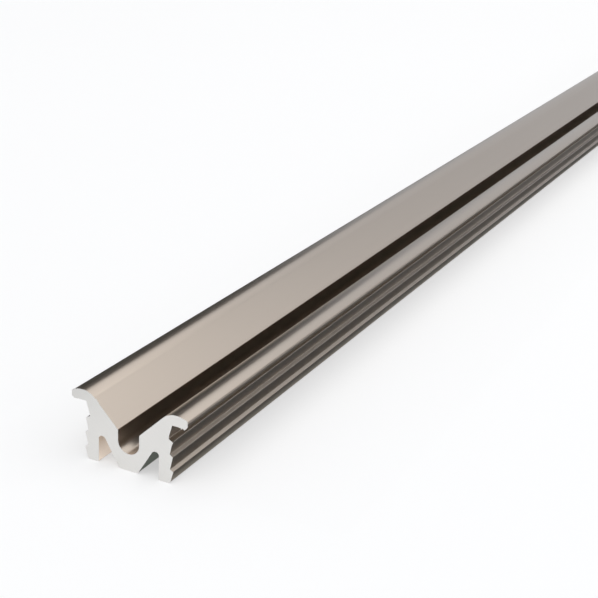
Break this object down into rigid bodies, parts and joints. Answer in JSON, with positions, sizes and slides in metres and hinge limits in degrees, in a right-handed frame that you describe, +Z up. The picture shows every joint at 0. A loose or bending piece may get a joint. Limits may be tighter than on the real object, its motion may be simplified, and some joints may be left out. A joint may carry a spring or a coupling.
{
  "type": "aluminium extrusion profile",
  "caption": "Press-in aluminium rail profile: two flanges, a funnel down to a round-bottomed running groove, a keel, and two barbed legs that hold it in a slot.",
  "frame": {"origin": "under the middle of the bar, on the surface that its feet and keel stand on", "axes": "+X along the bar, +Y across it, +Z up, towards the open groove"},
  "size_m": [1, 0.022, 0.0123],
  "materials": {
    "anodised_aluminium": "satin champagne anodised along the bar, bare sawn metal on the two ends"
  },
  "bodies": {
    "root": {"profile_bar": "anodised_aluminium"}
  },
  "joints": []
}
